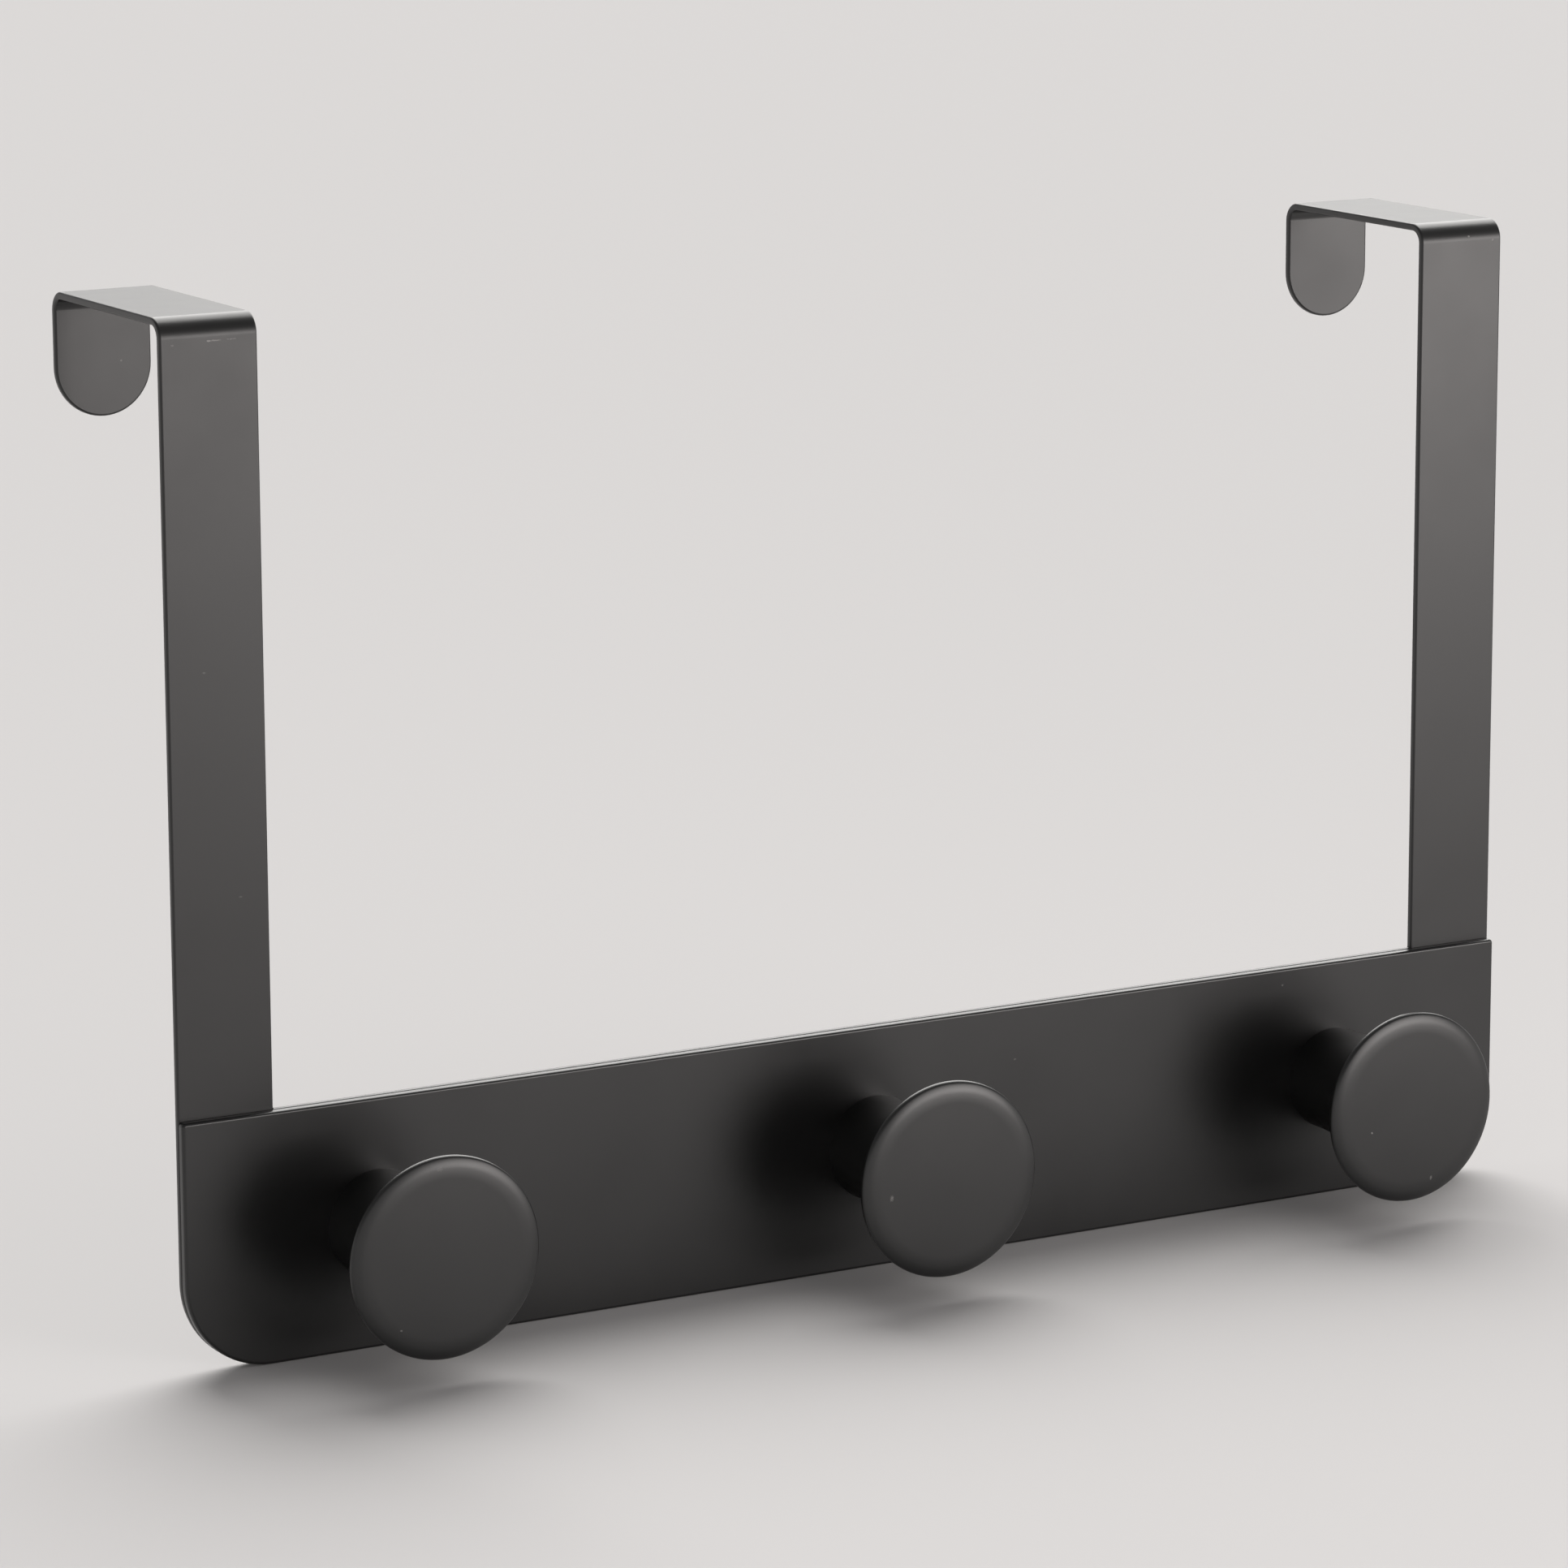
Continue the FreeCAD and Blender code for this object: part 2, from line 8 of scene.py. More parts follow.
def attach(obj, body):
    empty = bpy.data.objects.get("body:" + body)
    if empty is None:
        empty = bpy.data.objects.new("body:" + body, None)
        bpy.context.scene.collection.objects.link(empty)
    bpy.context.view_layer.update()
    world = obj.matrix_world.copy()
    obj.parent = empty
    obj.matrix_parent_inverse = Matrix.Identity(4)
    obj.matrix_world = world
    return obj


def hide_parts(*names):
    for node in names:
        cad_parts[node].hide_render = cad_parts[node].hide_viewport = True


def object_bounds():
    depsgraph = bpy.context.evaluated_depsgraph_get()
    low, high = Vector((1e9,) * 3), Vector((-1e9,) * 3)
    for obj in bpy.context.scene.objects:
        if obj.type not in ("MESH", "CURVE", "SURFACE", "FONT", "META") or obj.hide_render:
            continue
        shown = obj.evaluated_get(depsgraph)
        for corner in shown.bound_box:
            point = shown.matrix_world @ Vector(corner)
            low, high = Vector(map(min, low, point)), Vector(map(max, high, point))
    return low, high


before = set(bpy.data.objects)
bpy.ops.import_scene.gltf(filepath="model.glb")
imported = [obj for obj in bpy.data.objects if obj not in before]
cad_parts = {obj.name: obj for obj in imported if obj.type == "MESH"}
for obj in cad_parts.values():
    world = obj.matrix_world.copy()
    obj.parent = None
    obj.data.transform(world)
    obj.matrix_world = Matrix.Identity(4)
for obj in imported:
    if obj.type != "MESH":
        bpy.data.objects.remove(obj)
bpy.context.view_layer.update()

# Over door hook: a folded sheet frame, a flat front plate, three turned knobs and their screws.
# X runs along the width, Y goes into the door and Z is up. Shapes and marks are given in millimetres,
# the camera, the lamps and the floor in metres.
scene = bpy.context.scene
mm = 0.001
touching = 1e-3  # millimetres; places closer than this are one
sharpAngle = 32.0  # degrees; an edge that turns less than this is shaded smooth
outlineAngle = 60.0  # degrees; a sheet's cut edge turns more than this
noiseMiddle = 0.5  # what a noise texture varies about


# Shader values as Python expressions

class Wire:
    # one output socket of a material; sums and products of wires add their Math nodes
    def __init__(self, socket):
        self.socket = socket

    @classmethod
    def node(cls, tree, kind, settings=None, values=None, output=None):
        made = tree.nodes.new(kind)
        for key, value in (settings or {}).items():
            setattr(made, key, value)
        sockets = {socket.identifier: socket for socket in made.inputs}
        for key, value in (values or {}).items():
            if isinstance(value, cls):
                tree.links.new(value.socket, sockets[key])
            else:
                sockets[key].default_value = value
        outputs = {socket.identifier: socket for socket in made.outputs}
        if outputs:
            return cls(outputs[output] if output else made.outputs[0])

    def math(self, operation, first, second):
        tree = self.socket.id_data
        values = {"Value": first, "Value_001": second}
        return Wire.node(tree, "ShaderNodeMath", {"operation": operation}, values)

    def __add__(self, value):
        return self.math("ADD", self, value)

    def __radd__(self, value):
        return self.math("ADD", value, self)

    def __sub__(self, value):
        return self.math("SUBTRACT", self, value)

    def __rsub__(self, value):
        return self.math("SUBTRACT", value, self)

    def __mul__(self, value):
        return self.math("MULTIPLY", self, value)

    def __rmul__(self, value):
        return self.math("MULTIPLY", value, self)


def emptyTree(owner):
    # the node tree of a material or a world, with nothing in it yet
    owner.use_nodes = True
    tree = owner.node_tree
    tree.nodes.clear()
    return tree


# Materials

coats = {
    "frame_coat": {
        "colour": (0.0055, 0.0052, 0.0051, 1.0), "roughness": 0.35, "cloud": 0.05, "cloudScale": 55.0,
        # centre and reach in millimetres, then how far the coat is rubbed
        "marks": [
            ((-142.5, -1.4, -3.20), (0.45, 0.6, 0.22), 0.80),
            ((-141.2, -1.4, -3.15), (1.3, 0.6, 0.16), 0.60),
            ((-137.8, -1.4, -3.10), (1.0, 0.6, 0.14), 0.35),
            ((-149.9, -1.4, -3.55), (0.3, 0.6, 0.25), 0.30),
            ((-138.8, 47.5, -12.9), (0.3, 0.6, 0.25), 0.50),
            ((144.3, -1.4, -1.50), (0.3, 0.6, 0.25), 0.60),
            ((150.3, -1.4, -2.50), (0.3, 0.6, 0.25), 0.45),
            ((-144.9, -1.5, -65.8), (0.5, 0.6, 0.20), 0.20),
            ((-138.4, -1.5, -109.6), (0.4, 0.6, 0.20), 0.15),
        ],
    },
    "plate_coat": {
        "colour": (0.0050, 0.0049, 0.0049, 1.0), "roughness": 0.33, "cloud": 0.05, "cloudScale": 42.0,
        "marks": [
            ((98.6, -3.5, -155.5), (0.3, 0.5, 0.25), 0.30),
            ((33.0, -3.5, -163.0), (0.3, 0.5, 0.25), 0.20),
        ],
    },
    "knob_coat": {
        "colour": (0.0050, 0.0050, 0.0050, 1.0), "roughness": 0.34, "cloud": 0.04, "cloudScale": 60.0,
        "marks": [
            # the first mark is painted highlight: a faint pale grain on the left knob's top rim, where its
            # highlight is speckled; the others are rubbed spots
            ((-112.9, -32.9, -159.2), (0.7, 0.8, 0.5), 0.14),
            ((-115.3, -32.3, -157.2), (0.35, 0.5, 0.35), 0.60),
            ((-121.6, -33.0, -189.6), (0.3, 0.5, 0.3), 0.55),
            ((-13.8, -33.5, -178.8), (0.4, 0.5, 0.7), 0.35),
            ((101.0, -33.5, -180.9), (0.25, 0.5, 0.25), 0.70),
            ((116.1, -33.2, -192.4), (0.3, 0.6, 0.6), 0.35),
        ],
    },
}


# What the three coats share
powder = {
    "peelScale": 520.0, "grainScale": 3200.0, "index": 1.58,
    # a mark, rubbed spot and painted highlight speck alike: how ragged its rim is, where it fades, then
    # its colour and added roughness
    "ragged": 1.6, "fade": (0.45, 1.1), "bareAndHighlight": (0.30, 0.29, 0.28, 1.0), "rubbedRoughness": 0.25,
    # the grain's height and a mark's depth against the peel's height, which is in metres
    "grainHeight": 0.12, "rubbedDepth": 2.0, "peelHeight": 0.000004,
}


def satinCoat(name, coat, shared):
    # satin black powder coat: soft clouds in its gloss, a faint orange peel and the rubbed marks, with one
    # painted highlight speck among the knob's marks
    material = bpy.data.materials.new(name)
    tree = emptyTree(material)
    place = Wire.node(tree, "ShaderNodeTexCoord", output="Object")
    clouds = Wire.node(tree, "ShaderNodeTexNoise", None,
                       {"Vector": place, "Scale": coat["cloudScale"], "Detail": 3.0, "Roughness": 0.55})
    peel = Wire.node(tree, "ShaderNodeTexNoise", None,
                     {"Vector": place, "Scale": shared["peelScale"], "Detail": 2.0, "Roughness": 0.5})
    grain = Wire.node(tree, "ShaderNodeTexNoise", None,
                      {"Vector": place, "Scale": shared["grainScale"], "Detail": 1.0, "Roughness": 0.5})
    rubbedAndHighlight = None
    for centre, reach, strength in coat["marks"]:
        centre = tuple(value * mm for value in centre)
        reach = tuple(value * mm for value in reach)
        offset = Wire.node(tree, "ShaderNodeVectorMath", {"operation": "SUBTRACT"},
                           {"Vector": place, "Vector_001": centre})
        steps = Wire.node(tree, "ShaderNodeVectorMath", {"operation": "DIVIDE"},
                          {"Vector": offset, "Vector_001": reach})
        away = Wire.node(tree, "ShaderNodeVectorMath", {"operation": "LENGTH"},
                         {"Vector": steps}, "Value")
        spot = Wire.node(tree, "ShaderNodeMapRange", {"interpolation_type": "SMOOTHSTEP"},
                         {"Value": away + (grain - noiseMiddle) * shared["ragged"],
                          "From Min": shared["fade"][0], "From Max": shared["fade"][1],
                          "To Min": strength, "To Max": 0.0})
        rubbedAndHighlight = spot if rubbedAndHighlight is None else rubbedAndHighlight.math("MAXIMUM", rubbedAndHighlight, spot)
    # the marks' paler colour: bare coat where it is rubbed, and painted highlight for the knob's speck
    colour = Wire.node(tree, "ShaderNodeMix", {"data_type": "RGBA"},
                       {"Factor_Float": rubbedAndHighlight, "A_Color": coat["colour"],
                        "B_Color": shared["bareAndHighlight"]}, "Result_Color")
    roughness = ((clouds - noiseMiddle) * (2 * coat["cloud"]) + coat["roughness"]
                 + rubbedAndHighlight * shared["rubbedRoughness"])
    height = peel + grain * shared["grainHeight"] - rubbedAndHighlight * shared["rubbedDepth"]
    relief = Wire.node(tree, "ShaderNodeBump", None,
                       {"Height": height, "Strength": 1.0, "Distance": shared["peelHeight"]}, "Normal")
    surface = Wire.node(tree, "ShaderNodeBsdfPrincipled", None,
                        {"Base Color": colour, "Roughness": roughness, "IOR": shared["index"],
                         "Normal": relief})
    Wire.node(tree, "ShaderNodeOutputMaterial", None, {"Surface": surface})
    return material


materials = {name: satinCoat(name, coat, powder) for name, coat in coats.items()}


def zincPlate(name, values):
    # bright zinc with faint rings round the screw's shank
    material = bpy.data.materials.new(name)
    tree = emptyTree(material)
    place = Wire.node(tree, "ShaderNodeTexCoord", output="Object")
    rings = Wire.node(tree, "ShaderNodeTexWave",
                      {"wave_type": "BANDS", "bands_direction": "Y"},
                      {"Vector": place, "Scale": values["rings"], "Distortion": 1.5, "Detail": 2.0})
    clouds = Wire.node(tree, "ShaderNodeTexNoise", None,
                       {"Vector": place, "Scale": values["clouds"], "Detail": 3.0, "Roughness": 0.6})
    colour = Wire.node(tree, "ShaderNodeMix", {"data_type": "RGBA"},
                       {"Factor_Float": clouds, "A_Color": values["colour"],
                        "B_Color": values["tint"]}, "Result_Color")
    roughness = clouds * values["cloudRoughness"] + rings * values["ringRoughness"] + values["roughness"]
    relief = Wire.node(tree, "ShaderNodeBump", None,
                       {"Height": rings + clouds, "Strength": 0.6, "Distance": values["ringHeight"]},
                       "Normal")
    surface = Wire.node(tree, "ShaderNodeBsdfPrincipled", None,
                        {"Base Color": colour, "Roughness": roughness, "Metallic": 1.0,
                         "Normal": relief})
    Wire.node(tree, "ShaderNodeOutputMaterial", None, {"Surface": surface})
    return material


zinc = {"colour": (0.50, 0.50, 0.51, 1.0), "tint": (0.56, 0.55, 0.50, 1.0), "roughness": 0.22,
        "cloudRoughness": 0.12, "ringRoughness": 0.05, "ringHeight": 0.000003,
        "rings": 900.0, "clouds": 420.0}
materials["screw_steel"] = zincPlate("screw_steel", zinc)
print("materials done")


# Shapes are drawn in millimetres and brought to metres when they are finished

def finishPiece(bm, name, slot, replaced):
    bmesh.ops.remove_doubles(bm, verts=bm.verts, dist=touching)
    bmesh.ops.recalc_face_normals(bm, faces=bm.faces)
    for face in bm.faces:
        face.smooth = True
    for edge in bm.edges:
        edge.smooth = len(edge.link_faces) == 2 and edge.calc_face_angle() < math.radians(sharpAngle)
    bmesh.ops.scale(bm, vec=(mm, mm, mm), verts=bm.verts)
    mesh = bpy.data.meshes.new(name)
    bm.to_mesh(mesh)
    bm.free()
    mesh.materials.append(materials[slot])
    piece = bpy.data.objects.new(name, mesh)
    scene.collection.objects.link(piece)
    even = piece.modifiers.new("even", "WEIGHTED_NORMAL")
    even.keep_sharp = True
    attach(piece, "root")
    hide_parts(replaced)


def newVerts(made):
    return [item for item in made if isinstance(item, bmesh.types.BMVert)]


def newEdges(made):
    ends = set(newVerts(made))
    return [item for item in made if isinstance(item, bmesh.types.BMEdge) and set(item.verts) <= ends]


def drawOut(bm, edges, move):
    # draws edges out into a strip and gives the strip's far edges
    made = bmesh.ops.extrude_edge_only(bm, edges=edges)["geom"]
    bmesh.ops.translate(bm, vec=move, verts=newVerts(made))
    return newEdges(made)


def foldOver(bm, edges, centre, steps):
    # folds the strip a quarter turn over the door, about an axis along the width
    made = bmesh.ops.spin(bm, geom=edges, cent=centre, axis=(1, 0, 0), angle=-math.pi / 2, steps=steps)
    return newEdges(made["geom_last"])


def nearHole(point, holes, reach):
    away = min(math.hypot(point.x - place, point.z - holes["level"]) for place in holes["places"])
    return away < reach


def layBlank(bm, values, depth):
    # a flat rectangle in the plane y = depth, facing the front
    middle = (values["top"] + values["bottom"]) / 2
    spread = Matrix.Diagonal((values["width"] / 2, (values["top"] - values["bottom"]) / 2, 1.0, 1.0))
    upright = Matrix.Rotation(math.pi / 2, 4, "X")
    bmesh.ops.create_grid(bm, x_segments=1, y_segments=1, size=1.0,
                          matrix=Matrix.Translation((0.0, depth, middle)) @ upright @ spread)


def roundCorners(bm, level, radius, steps):
    corners = [vert for vert in bm.verts if abs(vert.co.z - level) < touching]
    bmesh.ops.bevel(bm, geom=corners, affect="VERTICES", offset=radius, offset_type="OFFSET",
                    segments=steps, profile=0.5, material=-1)


def drillFace(bm, face, holes, radius):
    # fills a flat face again, round the rims of the holes
    rim = list(face.edges)
    depth = face.verts[0].co.y
    bmesh.ops.delete(bm, geom=[face], context="FACES_ONLY")
    upright = Matrix.Rotation(math.pi / 2, 4, "X")
    for place in holes["places"]:
        ring = bmesh.ops.create_circle(bm, cap_ends=False, radius=radius, segments=holes["steps"],
                                       matrix=Matrix.Translation((place, depth, holes["level"])) @ upright)
        rim += {edge for vert in ring["verts"] for edge in vert.link_edges}
    bmesh.ops.triangle_fill(bm, use_beauty=True, use_dissolve=False, edges=rim, normal=(0, -1, 0))


def setRings(bm, holes, depth, radius):
    # brings the holes' rims at one depth to one radius
    for vert in bm.verts:
        if (abs(vert.co.y - depth) < holes["sameDepth"]
                and nearHole(vert.co, holes, holes["mouth"] + holes["ringMargin"])):
            place = min(holes["places"], key=lambda value: abs(vert.co.x - value))
            axis = Vector((place, vert.co.y, holes["level"]))
            vert.co = axis + (vert.co - axis).normalized() * radius


def thicken(bm, thickness):
    # gives the sheet its thickness towards the front and the outside
    bmesh.ops.recalc_face_normals(bm, faces=bm.faces)
    flat = max(bm.faces, key=lambda face: face.calc_area())
    if flat.normal.y > 0:
        bmesh.ops.reverse_faces(bm, faces=bm.faces)
    bmesh.ops.solidify(bm, geom=bm.faces[:], thickness=-thickness)
    bmesh.ops.recalc_face_normals(bm, faces=bm.faces)


def softenEdges(bm, edges, radius, steps):
    bmesh.ops.bevel(bm, geom=edges, affect="EDGES", offset=radius, offset_type="OFFSET",
                    segments=steps, profile=0.5, material=-1, loop_slide=True)


def outlineEdges(bm, holes):
    # the sheet's own cut edges, without those of its holes
    return [edge for edge in bm.edges
            if len(edge.link_faces) == 2 and edge.calc_face_angle() > math.radians(outlineAngle)
            and not nearHole(edge.verts[0].co, holes, holes["mouth"] + holes["edgeMargin"])]


# Screw holes: place and level of their axes, the radii of mouth, middle and bore, then how near
# in depth and how far past its radius a point still counts as a hole's own
holes = {"places": (-111.5, 0.0, 111.5), "level": -177.0, "mouth": 4.1, "middle": 2.6, "bore": 2.2,
         "boreStart": -1.9, "steps": 48, "sameDepth": 0.01, "ringMargin": 0.5, "edgeMargin": 1.0}

# The outline that the frame's band and the front plate share
band = {"width": 305.0, "top": -152.0, "bottom": -202.0, "corner": 18.0, "cornerSteps": 20}

# Hanger frame
hanger = {**band, "strap": 20.0, "sheet": 1.5, "gap": 47.5, "bend": 2.5, "bendSteps": 12,
          "flapFoot": -13.5, "endSteps": 32, "edge": 0.45, "edgeSteps": 4}


def foldHanger(values, holes):
    bm = bmesh.new()
    layBlank(bm, values, 0.0)
    roundCorners(bm, values["bottom"], values["corner"], values["cornerSteps"])
    inner = values["width"] / 2 - values["strap"]
    for side in (-inner, inner):
        bmesh.ops.bisect_plane(bm, geom=bm.verts[:] + bm.edges[:] + bm.faces[:], dist=touching,
                               plane_co=(side, 0, 0), plane_no=(1, 0, 0))
    middle = max(bm.faces, key=lambda face: face.calc_area())
    drillFace(bm, middle, holes, holes["mouth"])
    # the straps go up from the band, over the door and down its far side
    ends = [edge for edge in bm.edges
            if all(abs(vert.co.z - values["top"]) < touching for vert in edge.verts)
            and abs(edge.verts[0].co.x + edge.verts[1].co.x) > 2 * inner]
    bend = values["bend"]
    gap = values["gap"]
    ends = drawOut(bm, ends, (0.0, 0.0, -values["top"] - bend))
    ends = foldOver(bm, ends, (0.0, bend, -bend), values["bendSteps"])
    ends = drawOut(bm, ends, (0.0, gap - 2 * bend, 0.0))
    ends = foldOver(bm, ends, (0.0, gap - bend, -bend), values["bendSteps"])
    ends = drawOut(bm, ends, (0.0, 0.0, values["flapFoot"] + bend))
    for end in ends:
        left, right = sorted(end.verts, key=lambda vert: vert.co.x)
        centre = (left.co + right.co) / 2
        bmesh.ops.spin(bm, geom=[left], cent=centre, axis=(0, 1, 0), angle=-math.pi,
                       steps=values["endSteps"])
    bmesh.ops.remove_doubles(bm, verts=bm.verts, dist=touching)
    for side in (-1, 1):
        rim = [edge for edge in bm.edges
               if len(edge.link_faces) < 2
               and all(vert.co.y > gap - touching and vert.co.z < values["flapFoot"] + touching
                       and vert.co.x * side > 0 for vert in edge.verts)]
        bmesh.ops.contextual_create(bm, geom=rim)
    thicken(bm, values["sheet"])
    setRings(bm, holes, -values["sheet"], holes["middle"])
    softenEdges(bm, outlineEdges(bm, holes), values["edge"], values["edgeSteps"])
    finishPiece(bm, "hangerFrame", "frame_coat", "hanger_frame")


foldHanger(hanger, holes)
print("hanger frame done")

# Front plate
panel = {**band, "topCorner": 0.8, "topSteps": 6, "back": -1.5, "sheet": 2.0,
         "frontEdge": 0.6, "frontSteps": 5, "backEdge": 0.45, "backSteps": 3}


def cutPanel(values, holes):
    bm = bmesh.new()
    layBlank(bm, values, values["back"])
    roundCorners(bm, values["bottom"], values["corner"], values["cornerSteps"])
    roundCorners(bm, values["top"], values["topCorner"], values["topSteps"])
    drillFace(bm, bm.faces[:][0], holes, holes["middle"])
    thicken(bm, values["sheet"])
    front = values["back"] - values["sheet"]
    # the countersink ends a little way into the plate, and the bore goes on from there
    walls = [face for face in bm.faces if abs(face.normal.y) < 0.5
             and nearHole(face.calc_center_median(), holes, holes["middle"] + holes["ringMargin"])]
    sides = list({edge for face in walls for edge in face.edges})
    corners = list({vert for face in walls for vert in face.verts})
    bmesh.ops.bisect_plane(bm, geom=corners + sides + walls, dist=touching,
                           plane_co=(0, holes["boreStart"], 0), plane_no=(0, 1, 0))
    setRings(bm, holes, front, holes["bore"])
    setRings(bm, holes, holes["boreStart"], holes["bore"])
    for depth, radius, steps in ((front, values["frontEdge"], values["frontSteps"]),
                                 (values["back"], values["backEdge"], values["backSteps"])):
        rim = [edge for edge in outlineEdges(bm, holes)
               if all(abs(vert.co.y - depth) < touching for vert in edge.verts)]
        softenEdges(bm, rim, radius, steps)
    finishPiece(bm, "frontPlate", "plate_coat", "front_plate")


cutPanel(panel, holes)
print("front plate done")

# Knobs: lengths along the axis are counted from the plate's front
knob = {"front": -3.5, "boreRadius": 2.05, "boreDepth": 10.1, "drillPoint": 1.2, "neck": 10.75,
        "straight": 2.0, "standoff": 28.0, "flareEnd": 16.0, "flareSteps": 18, "head": 20.0,
        "backRound": 0.3, "backSteps": 4, "side": 0.135, "turns": 128,
        # the rounds from the rim to the face: radius, slope in degrees where each one ends, steps
        "rounds": ((0.8, 22.0, 8), (7.0, 6.8, 6), (22.0, 1.6, 5), (560.0, 0.0, 6))}


def lineTo(bm, last, x, y):
    made = bmesh.ops.extrude_vert_indiv(bm, verts=[last])["verts"][0]
    made.co = (x, y, 0.0)
    return made


def arcTo(bm, last, x, y, angle, steps):
    made = bmesh.ops.spin(bm, geom=[last], cent=(x, y, 0.0), axis=(0, 0, 1), angle=angle, steps=steps)
    return newVerts(made["geom_last"])[0]


def turnKnob(values, name, replaced, place, level):
    # half of the section is drawn in the plane z = 0 and turned round the y axis
    bm = bmesh.new()
    rise = values["standoff"] - values["straight"]
    spread = values["flareEnd"] - values["neck"]
    flare = (rise ** 2 + spread ** 2) / (2 * spread)
    last = bm.verts.new((values["flareEnd"], -values["standoff"], 0.0))
    last = arcTo(bm, last, values["neck"] + flare, -values["straight"], -math.asin(rise / flare),
                 values["flareSteps"])
    last = lineTo(bm, last, values["neck"], 0.0)
    last = lineTo(bm, last, values["boreRadius"], 0.0)
    last = lineTo(bm, last, values["boreRadius"], -values["boreDepth"])
    lineTo(bm, last, 0.0, -values["boreDepth"] - values["drillPoint"])
    # the head: flat back, narrow side, then ever wider rounds up to the middle of the face
    last = bm.verts.new((values["flareEnd"], -values["standoff"], 0.0))
    backStart = -values["standoff"] - values["backRound"]
    last = lineTo(bm, last, values["head"] - values["backRound"], -values["standoff"])
    last = arcTo(bm, last, values["head"] - values["backRound"], backStart, -math.pi / 2,
                 values["backSteps"])
    last = lineTo(bm, last, values["head"], backStart - values["side"])
    slope = math.pi / 2
    for radius, end, steps in values["rounds"]:
        end = math.radians(end)
        centre = last.co - Vector((math.sin(slope), -math.cos(slope), 0.0)) * radius
        if end == 0.0:
            centre.x = 0.0
            centre.y = last.co.y + math.sqrt(radius ** 2 - last.co.x ** 2)
            slope = math.asin(last.co.x / radius)
        last = arcTo(bm, last, centre.x, centre.y, end - slope, steps)
        slope = end
    last.co.x = 0.0
    bmesh.ops.spin(bm, geom=bm.verts[:] + bm.edges[:], cent=(0, 0, 0), axis=(0, 1, 0),
                   angle=2 * math.pi, steps=values["turns"], use_merge=True)
    bmesh.ops.translate(bm, vec=(place, values["front"], level), verts=bm.verts)
    finishPiece(bm, name, "knob_coat", replaced)


for name, replaced, place in zip(("knobLeft", "knobCentre", "knobRight"),
                                 ("knob_left", "knob_centre", "knob_right"), holes["places"]):
    turnKnob(knob, name, replaced, place, holes["level"])
print("knobs done")

# Screws: each pair is the radius and the depth of a ring; depths run from the frame's back face to the tip
screw = {"rim": (4.0, -0.1), "cone": (2.0, -2.1), "neck": (1.75, -2.45), "tip": (1.45, -11.4),
         "end": (1.15, -12.1), "core": 1.58, "crest": 2.0, "threadStart": -2.7, "pitch": 0.7, "turns": 11,
         "steps": 24, "rootStart": 0.08, "crestStart": 0.30, "crestEnd": 0.40, "rootEnd": 0.62,
         "slot": 0.9, "span": 4.4, "recess": 1.4, "draft": 0.91}


def drawRing(bm, edges, ring):
    # draws a loop of edges on to a level ring round the y axis
    radius, depth = ring
    made = bmesh.ops.extrude_edge_only(bm, edges=edges)["geom"]
    for vert in newVerts(made):
        flat = Vector((vert.co.x, 0.0, vert.co.z)).normalized() * radius
        vert.co = (flat.x, depth, flat.z)
    bmesh.ops.remove_doubles(bm, verts=newVerts(made), dist=touching)
    return [edge for edge in bm.edges if len(edge.link_faces) == 1
            and all(abs(vert.co.y - depth) < touching for vert in edge.verts)]


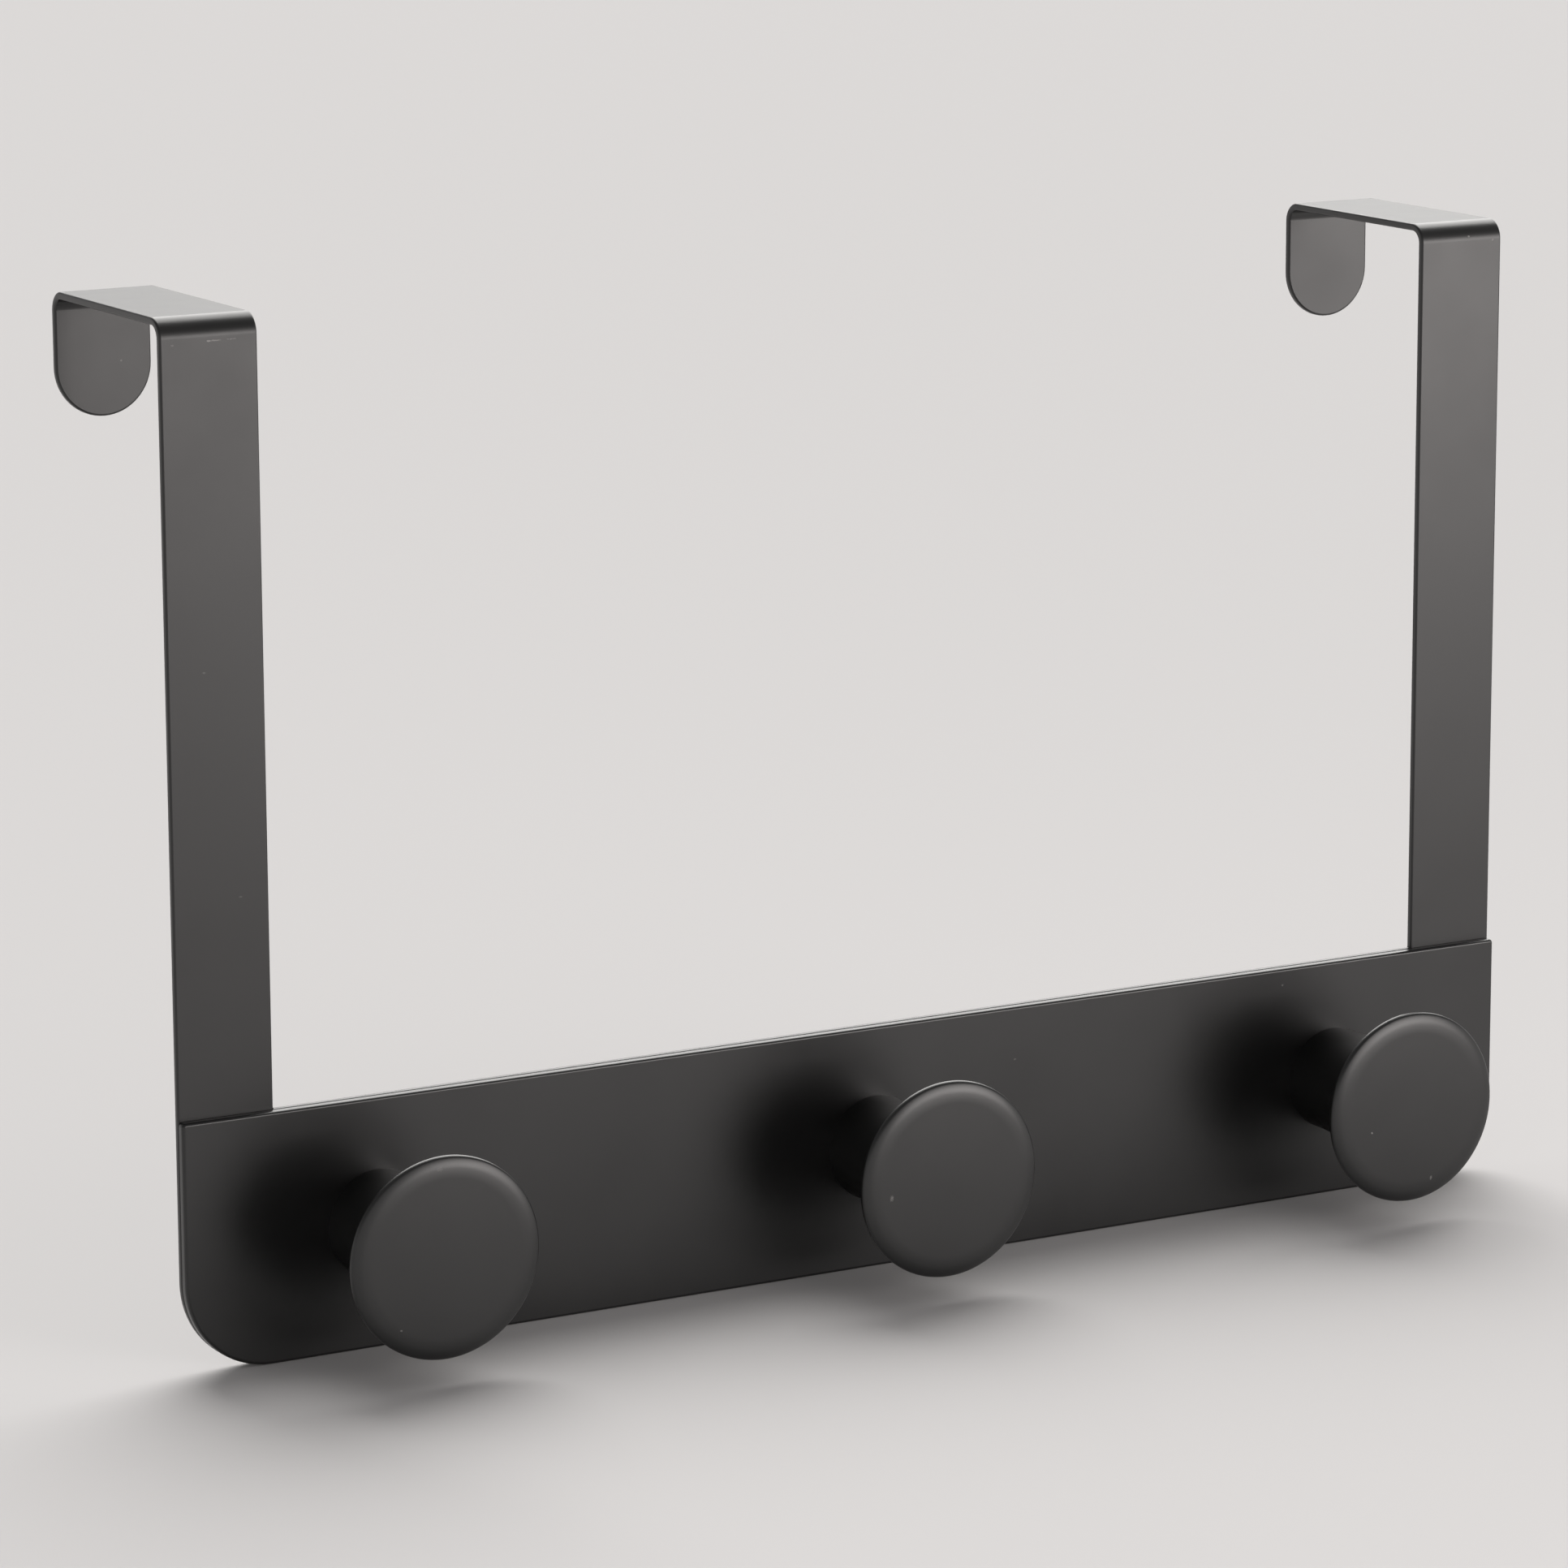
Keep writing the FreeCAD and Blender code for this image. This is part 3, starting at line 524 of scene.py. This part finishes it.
def cutScrew(values, name, replaced, place, level):
    bm = bmesh.new()
    start = values["threadStart"]
    core = values["core"]
    crest = values["crest"]
    # one turn of the thread's section, led round the axis and down at the same time
    last = bm.verts.new((core, start, 0.0))
    last = lineTo(bm, last, core, start - values["rootStart"])
    last = lineTo(bm, last, crest, start - values["crestStart"])
    last = lineTo(bm, last, crest, start - values["crestEnd"])
    last = lineTo(bm, last, core, start - values["rootEnd"])
    lineTo(bm, last, core, start - values["pitch"])
    turns = values["turns"]
    bmesh.ops.spin(bm, geom=bm.verts[:] + bm.edges[:], cent=(0, 0, 0), axis=(0, 1, 0),
                   dvec=(0, -values["pitch"] / values["steps"], 0), angle=2 * math.pi * turns,
                   steps=values["steps"] * turns)
    bmesh.ops.remove_doubles(bm, verts=bm.verts, dist=touching)
    # both open ends of the thread run out on to level rings
    rims = [edge for edge in bm.edges if len(edge.link_faces) == 1]
    middle = start - values["pitch"] * (turns + 1) / 2
    top = drawRing(bm, [edge for edge in rims if edge.verts[0].co.y > middle], values["neck"])
    top = drawRing(bm, top, values["cone"])
    top = drawRing(bm, top, values["rim"])
    end = drawRing(bm, [edge for edge in rims if edge.verts[0].co.y < middle], values["tip"])
    end = drawRing(bm, end, values["end"])
    bmesh.ops.contextual_create(bm, geom=end)
    # the cross recess is drawn in the head's face, then sunk with a draft
    arm = values["slot"] / 2
    reach = values["span"] / 2
    face = values["rim"][1]
    corner = bm.verts.new((arm, face, arm))
    cross = [corner]
    for x, z in ((arm, reach), (-arm, reach), (-arm, arm)):
        corner = bmesh.ops.extrude_vert_indiv(bm, verts=[corner])["verts"][0]
        corner.co = (x, face, z)
        cross.append(corner)
    quarter = list({edge for vert in cross for edge in vert.link_edges})
    bmesh.ops.spin(bm, geom=cross + quarter, cent=(0, 0, 0), axis=(0, 1, 0), angle=-1.5 * math.pi,
                   steps=3, use_duplicate=True)
    bmesh.ops.remove_doubles(bm, verts=bm.verts, dist=touching)
    outline = [edge for edge in bm.edges if not edge.link_faces]
    bmesh.ops.triangle_fill(bm, use_beauty=True, use_dissolve=False, edges=top + outline, normal=(0, 1, 0))
    made = bmesh.ops.extrude_edge_only(bm, edges=outline)["geom"]
    sunk = newVerts(made)
    bmesh.ops.translate(bm, vec=(0.0, -values["recess"], 0.0), verts=sunk)
    bmesh.ops.scale(bm, vec=(values["draft"], 1.0, values["draft"]), verts=sunk)
    bmesh.ops.contextual_create(bm, geom=newEdges(made))
    bmesh.ops.translate(bm, vec=(place, 0.0, level), verts=bm.verts)
    finishPiece(bm, name, "screw_steel", replaced)


for name, replaced, place in zip(("screwLeft", "screwCentre", "screwRight"),
                                 ("screw_left", "screw_centre", "screw_right"), holes["places"]):
    cutScrew(screw, name, replaced, place, holes["level"])
print("screws done")

# Camera, lamps, floor

cameraPlace = {
    "eye": (-0.626273, -1.070960, 0.155241), "yaw": 0.515832, "pitch": 0.204964, "roll": -0.003858,
    "lens": 145.2775, "sensor": 36.0, "far": 100.0,
}


def placeCamera(place):
    data = bpy.data.cameras.new("camera")
    data.sensor_fit = "HORIZONTAL"
    data.sensor_width = place["sensor"]
    data.lens = place["lens"]
    data.clip_end = place["far"]
    camera = bpy.data.objects.new("camera", data)
    turn = Matrix.Rotation(-place["yaw"], 4, "Z") @ Matrix.Rotation(math.pi / 2 - place["pitch"], 4, "X")
    camera.matrix_world = (Matrix.Translation(place["eye"]) @ turn
                           @ Matrix.Rotation(place["roll"], 4, "Z"))
    scene.collection.objects.link(camera)
    scene.camera = camera


placeCamera(cameraPlace)

studio = {
    # the air's level overhead and near the horizon, and the sines of elevation between which it changes
    "overhead": 0.25, "horizon": 0.68, "fade": (0.10, 0.50), "air": (1.0, 0.985, 0.98, 1.0),
    "floorSize": 60.0, "floorColour": (0.64, 0.63, 0.63, 1.0), "floorRoughness": 0.9, "floorSheen": 0.1,
    "floorLevel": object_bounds()[0][2],
    # the soft light high behind the object: where it comes from, its width in degrees, its level
    "high": {"from": (0.43, 0.60, 0.74), "width": 60.0, "level": 3.4, "colour": (1.0, 0.985, 0.965)},
    # the low panel in front, to the right: place and aim in metres, width, height, beam in degrees, watts
    "low": {"place": (0.53, -0.87, 0.0), "aim": (0.02, 0.0, -0.05), "wide": 0.72, "high": 0.36,
            "beam": 80.0, "power": 1.08, "colour": (1.0, 0.95, 0.93)},
}


def lightStudio(values):
    world = bpy.data.worlds.new("studio")
    scene.world = world
    tree = emptyTree(world)
    upward = Wire.node(tree, "ShaderNodeSeparateXYZ", None,
                       {"Vector": Wire.node(tree, "ShaderNodeTexCoord", output="Generated")}, "Z")
    level = Wire.node(tree, "ShaderNodeMapRange", {"interpolation_type": "SMOOTHSTEP"},
                      {"Value": upward, "From Min": values["fade"][0], "From Max": values["fade"][1],
                       "To Min": values["horizon"], "To Max": values["overhead"]})
    air = Wire.node(tree, "ShaderNodeBackground", None, {"Color": values["air"], "Strength": level})
    Wire.node(tree, "ShaderNodeOutputWorld", None, {"Surface": air})
    high = bpy.data.lights.new("highLight", "SUN")
    high.angle = math.radians(values["high"]["width"])
    high.energy = values["high"]["level"]
    high.color = values["high"]["colour"]
    lamp = bpy.data.objects.new("highLight", high)
    lamp.matrix_world = Vector(values["high"]["from"]).to_track_quat("Z", "Y").to_matrix().to_4x4()
    scene.collection.objects.link(lamp)
    low = bpy.data.lights.new("lowPanel", "AREA")
    low.shape = "RECTANGLE"
    low.size = values["low"]["wide"]
    low.size_y = values["low"]["high"]
    low.energy = values["low"]["power"]
    low.spread = math.radians(values["low"]["beam"])
    low.color = values["low"]["colour"]
    lamp = bpy.data.objects.new("lowPanel", low)
    place = Vector(values["low"]["place"])
    turn = (Vector(values["low"]["aim"]) - place).to_track_quat("-Z", "Y").to_matrix().to_4x4()
    lamp.matrix_world = Matrix.Translation(place) @ turn
    scene.collection.objects.link(lamp)


lightStudio(studio)


def layFloor(values):
    bm = bmesh.new()
    bmesh.ops.create_grid(bm, x_segments=1, y_segments=1, size=values["floorSize"] / 2,
                          matrix=Matrix.Translation((0.0, 0.0, values["floorLevel"])))
    mesh = bpy.data.meshes.new("floor")
    bm.to_mesh(mesh)
    bm.free()
    floor = bpy.data.objects.new("floor", mesh)
    scene.collection.objects.link(floor)
    material = bpy.data.materials.new("floorPaper")
    tree = emptyTree(material)
    paper = Wire.node(tree, "ShaderNodeBsdfPrincipled", None,
                      {"Base Color": values["floorColour"], "Roughness": values["floorRoughness"],
                       "Specular IOR Level": values["floorSheen"]})
    Wire.node(tree, "ShaderNodeOutputMaterial", None, {"Surface": paper})
    mesh.materials.append(material)


layFloor(studio)
scene.view_settings.view_transform = "Standard"
print("studio done")
